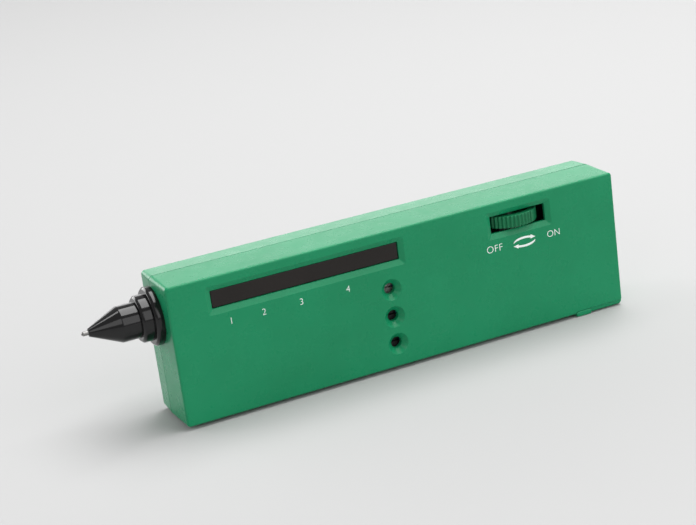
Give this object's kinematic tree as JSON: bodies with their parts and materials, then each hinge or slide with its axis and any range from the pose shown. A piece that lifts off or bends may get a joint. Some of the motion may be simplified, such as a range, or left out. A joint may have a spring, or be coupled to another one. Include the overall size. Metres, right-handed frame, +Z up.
{
  "type": "diamond tester",
  "caption": "Long flat handheld probe tester: two-part case, spring-loaded probe in a stepped black nose, lamp window, ribbed thumbwheel switch, calibration holes and sliding battery door.",
  "frame": {"origin": "centre of the object's bounding box at its lowest plane, standing on its long narrow edge", "axes": "+X along the length from the probe's tip to the battery end, +Y from the front face to the back face, +Z up from the lower long edge to the upper one"},
  "size_m": [0.1872, 0.0261, 0.0482],
  "materials": {
    "shell": "satin moulded green plastic",
    "nose": "glossy black moulding",
    "lens": "dark smoked clear plastic",
    "steel": "plain bright",
    "brass": "turned",
    "board": "green solder mask",
    "dark_plastic": "black moulding",
    "blue_plastic": "blue moulding",
    "green_lamp": "tinted clear resin",
    "red_lamp": "tinted clear resin",
    "foam": "open foam",
    "red_sleeve": "smooth wire sleeve",
    "black_sleeve": "smooth wire sleeve",
    "white_sleeve": "smooth wire sleeve",
    "resistor_body": "lacquer",
    "cell_wrap": "film wrap on a steel can"
  },
  "bodies": {
    "case": {"back_shell": "shell", "battery": "cell_wrap", "battery_lead_black": "black_sleeve", "battery_lead_red": "red_sleeve", "battery_snap": "dark_plastic", "battery_stud_minus": "steel", "battery_stud_plus": "steel", "board_screw_1": "steel", "board_screw_2": "steel", "buzzer": "dark_plastic", "capacitor_1": "blue_plastic", "capacitor_2": "blue_plastic", "case_screw_1": "steel", "case_screw_2": "steel", "case_screw_3": "steel", "case_screw_4": "steel", "chip": "dark_plastic", "front_shell": "shell", "lamp_1": "green_lamp", "lamp_2": "green_lamp", "lamp_3": "green_lamp", "lamp_4": "green_lamp", "lamp_5": "red_lamp", "lamp_6": "red_lamp", "lamp_7": "red_lamp", "lamp_8": "red_lamp", "lamp_holder": "dark_plastic", "main_board": "board", "nose_cone": "nose", "pot_board": "board", "pot_body": "steel", "probe_bush": "brass", "probe_lead_black": "black_sleeve", "probe_lead_red": "red_sleeve", "probe_lead_white": "white_sleeve", "probe_plug": "dark_plastic", "probe_spring": "steel", "regulator": "dark_plastic", "resistor_1": "resistor_body", "resistor_2": "resistor_body", "resistor_3": "resistor_body", "switch_lead_black": "black_sleeve", "switch_lead_red": "red_sleeve", "trimmer_body_1": "blue_plastic", "trimmer_body_2": "blue_plastic", "trimmer_body_3": "blue_plastic", "window_lens": "lens"},
    "wheel": {"thumb_wheel": "shell", "pot_shaft": "brass", "wheel_screw": "steel"},
    "probe": {"probe_pin": "steel"},
    "door": {"battery_door": "shell", "door_pad": "foam"},
    "trimmer_1": {"trimmer_rotor_1": "steel"},
    "trimmer_2": {"trimmer_rotor_2": "steel"},
    "trimmer_3": {"trimmer_rotor_3": "steel"}
  },
  "joints": [
    {"name": "wheel_turn", "type": "hinge", "parent": "case", "child": "wheel", "pos_m": [0.05635, -0.00305, 0.0404], "axis": [0, 0, 1], "range_deg": [0, 270]},
    {"name": "probe_press", "type": "slide", "parent": "case", "child": "probe", "axis": [1, 0, 0], "range_m": [0, 0.0015], "stiffness_N_per_m": 150, "springref_m": -0.005, "deforming": ["probe_spring"]},
    {"name": "door_slide", "type": "slide", "parent": "case", "child": "door", "axis": [1, 0, 0], "range_m": [0, 0.018]},
    {"name": "trimmer_1_turn", "type": "hinge", "parent": "case", "child": "trimmer_1", "pos_m": [0.00685, -0.00765, 0.0281], "axis": [0, 1, 0], "range_deg": [-135, 135]},
    {"name": "trimmer_2_turn", "type": "hinge", "parent": "case", "child": "trimmer_2", "pos_m": [0.00685, -0.00765, 0.01865], "axis": [0, 1, 0], "range_deg": [-135, 135]},
    {"name": "trimmer_3_turn", "type": "hinge", "parent": "case", "child": "trimmer_3", "pos_m": [0.00685, -0.00765, 0.0092], "axis": [0, 1, 0], "range_deg": [-135, 135]}
  ]
}
